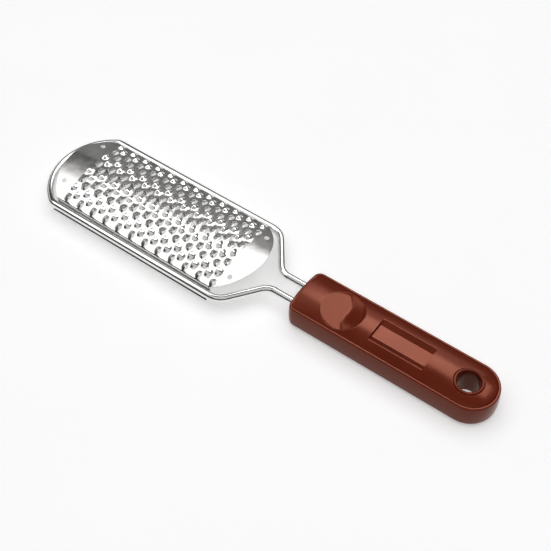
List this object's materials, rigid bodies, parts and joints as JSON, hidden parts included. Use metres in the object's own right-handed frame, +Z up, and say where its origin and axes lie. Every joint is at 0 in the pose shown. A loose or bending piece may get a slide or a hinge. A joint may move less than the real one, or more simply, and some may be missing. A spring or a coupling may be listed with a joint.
{
  "type": "foot file",
  "caption": "Foot file: a crowned rasp plate with punched teeth, hemmed onto a bent wire frame, and a flat plastic handle with a thumb recess, a blank label recess and a hang hole.",
  "frame": {"origin": "middle of the part in plan, at the height of the handle's underside", "axes": "+X from the tip of the head to the end of the handle, +Z up out of the toothed side, +Y to the left when looking along +X"},
  "size_m": [0.2568, 0.0556, 0.017],
  "materials": {
    "wire": "bright plated",
    "plate": "bright rolled sheet, punched",
    "handle_shell": "semi gloss, moulded",
    "handle_cover": "semi gloss, moulded"
  },
  "bodies": {
    "root": {"wire_frame": "wire", "rasp_plate": "plate", "handle_lower": "handle_shell", "handle_upper": "handle_cover"}
  },
  "joints": []
}
